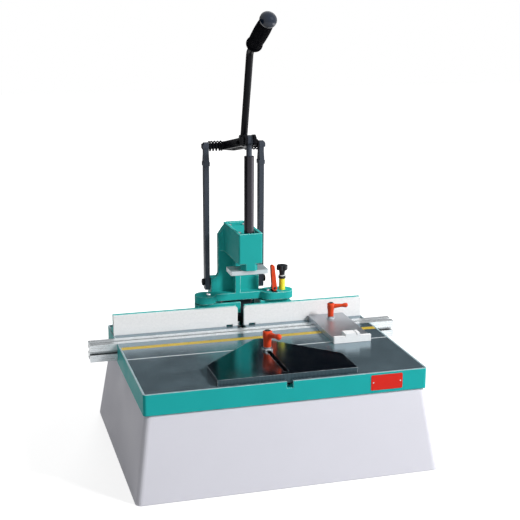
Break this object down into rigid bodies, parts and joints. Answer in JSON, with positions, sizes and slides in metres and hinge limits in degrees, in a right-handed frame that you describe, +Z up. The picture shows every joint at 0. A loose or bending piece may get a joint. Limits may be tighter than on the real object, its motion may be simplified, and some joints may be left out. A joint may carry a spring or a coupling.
{
  "type": "slot milling machine",
  "caption": "Bench slot milling machine with a split fence, a sliding head on rods, a long hand lever working a clamp ram, a rail stop and a sliding mitre plate.",
  "frame": {"origin": "centre of the plinth's foot, in the plane of the bench", "axes": "+Z up, -Y towards the person who works at it, +X to their right"},
  "size_m": [0.744, 0.6093, 0.9758],
  "materials": {
    "teal_paint": "semi-gloss machine enamel",
    "grey_paint": "matte pale grey enamel",
    "table_steel": "ground and polished",
    "yellow_enamel": "satin",
    "bright_aluminium": "milled and clear anodised",
    "bright_steel": "bright",
    "polished_steel": "mirror polished",
    "bronze": "machined",
    "black_steel": "blackened, satin",
    "slate_steel": "dark grey, satin",
    "black_plastic": "moulded",
    "gloss_cap": "moulded, glossy",
    "orange_plastic": "moulded"
  },
  "bodies": {
    "base": {"plinth": "grey_paint", "table_frame": "teal_paint", "front_table_plate": "table_steel", "left_rear_plate": "table_steel", "right_rear_plate": "table_steel", "scale_strip": "yellow_enamel", "guide_rail": "bright_aluminium", "left_fence_face": "bright_aluminium", "right_fence_face": "bright_aluminium", "left_fence_angle": "teal_paint", "right_fence_angle": "teal_paint", "fence_screws": "bright_steel", "left_saddle": "teal_paint", "right_saddle": "teal_paint", "saddle_bushes": "bronze", "stop_post": "black_steel", "stop_sleeve": "yellow_enamel", "stop_collar": "black_steel", "stop_washer": "bright_steel", "mitre_t_bolt": "bright_steel"},
    "knob": {"star_knob": "black_plastic"},
    "head": {"head_casting": "teal_paint", "guide_rods": "bright_steel", "rest_screws": "bright_steel", "arm_cover": "teal_paint", "cover_screws": "bright_steel", "lock_block": "black_steel", "left_link_bar": "slate_steel", "right_link_bar": "slate_steel", "left_link_knuckle": "slate_steel", "right_link_knuckle": "slate_steel", "link_bolts": "black_steel", "cross_shaft": "slate_steel", "left_return_spring": "black_steel", "right_return_spring": "black_steel", "hanger_studs": "bright_steel", "motor_clamp": "slate_steel", "router_motor": "black_plastic", "cable_gland": "black_plastic"},
    "spindle": {"collet_nut": "bright_steel", "dovetail_cutter": "bright_steel"},
    "head_lock": {"lock_lever": "orange_plastic"},
    "lever": {"yoke": "black_steel", "lever_shaft": "black_steel", "lever_bolt": "black_steel", "hand_grip": "black_plastic", "grip_cap": "gloss_cap"},
    "ram": {"ram_tube": "slate_steel", "ram_rod_end": "slate_steel", "fork_pin": "bright_steel", "clamp_plate": "bright_steel", "clamp_plate_screw": "bright_steel"},
    "stop": {"stop_plate": "bright_aluminium", "stop_front_bar": "bright_aluminium", "stop_block": "bright_aluminium", "stop_t_bolt": "bright_steel"},
    "stop_lock": {"stop_clamp_lever": "orange_plastic"},
    "mitre": {"mitre_plate": "polished_steel"},
    "mitre_lock": {"mitre_clamp_lever": "orange_plastic"}
  },
  "joints": [
    {"name": "knob_turn", "type": "hinge", "parent": "base", "child": "knob", "pos_m": [0.113, 0.1883, 0.36], "axis": [0, 0, 1], "continuous": true},
    {"name": "head_lift", "type": "slide", "parent": "base", "child": "head", "axis": [0, 0, 1], "range_m": [0, 0.028]},
    {"name": "spindle_turn", "type": "hinge", "parent": "head", "child": "spindle", "pos_m": [0, 0.19, 0.219], "axis": [0, 1, 0], "continuous": true},
    {"name": "head_lock_turn", "type": "hinge", "parent": "head", "child": "head_lock", "pos_m": [0.089, 0.1743, 0.311], "axis": [0, -1, 0], "range_deg": [0, 60]},
    {"name": "lever_pull", "type": "hinge", "parent": "head", "child": "lever", "pos_m": [0, 0.2243, 0.656], "axis": [1, 0, 0], "range_deg": [0, 31.71], "stiffness_Nm_per_rad": 5, "springref_deg": -51.57},
    {"name": "ram_press", "type": "slide", "parent": "head", "child": "ram", "axis": [0, 0, -1], "range_m": [0, 0.08]},
    {"name": "stop_slide", "type": "slide", "parent": "base", "child": "stop", "axis": [1, 0, 0], "range_m": [-0.015, 0.095]},
    {"name": "stop_lock_turn", "type": "hinge", "parent": "stop", "child": "stop_lock", "pos_m": [0.215, 0.115, 0.26], "axis": [0, 0, 1], "range_deg": [-100, 60]},
    {"name": "mitre_slide", "type": "slide", "parent": "base", "child": "mitre", "axis": [0, 1, 0], "range_m": [0, 0.13]},
    {"name": "mitre_lock_turn", "type": "hinge", "parent": "base", "child": "mitre_lock", "pos_m": [0, -0.072, 0.26], "axis": [0, 0, 1], "range_deg": [-90, 90]}
  ],
  "couplings": [
    {"joint": "ram_press", "follows": "lever_pull", "m_per_rad": 0.14437}
  ]
}
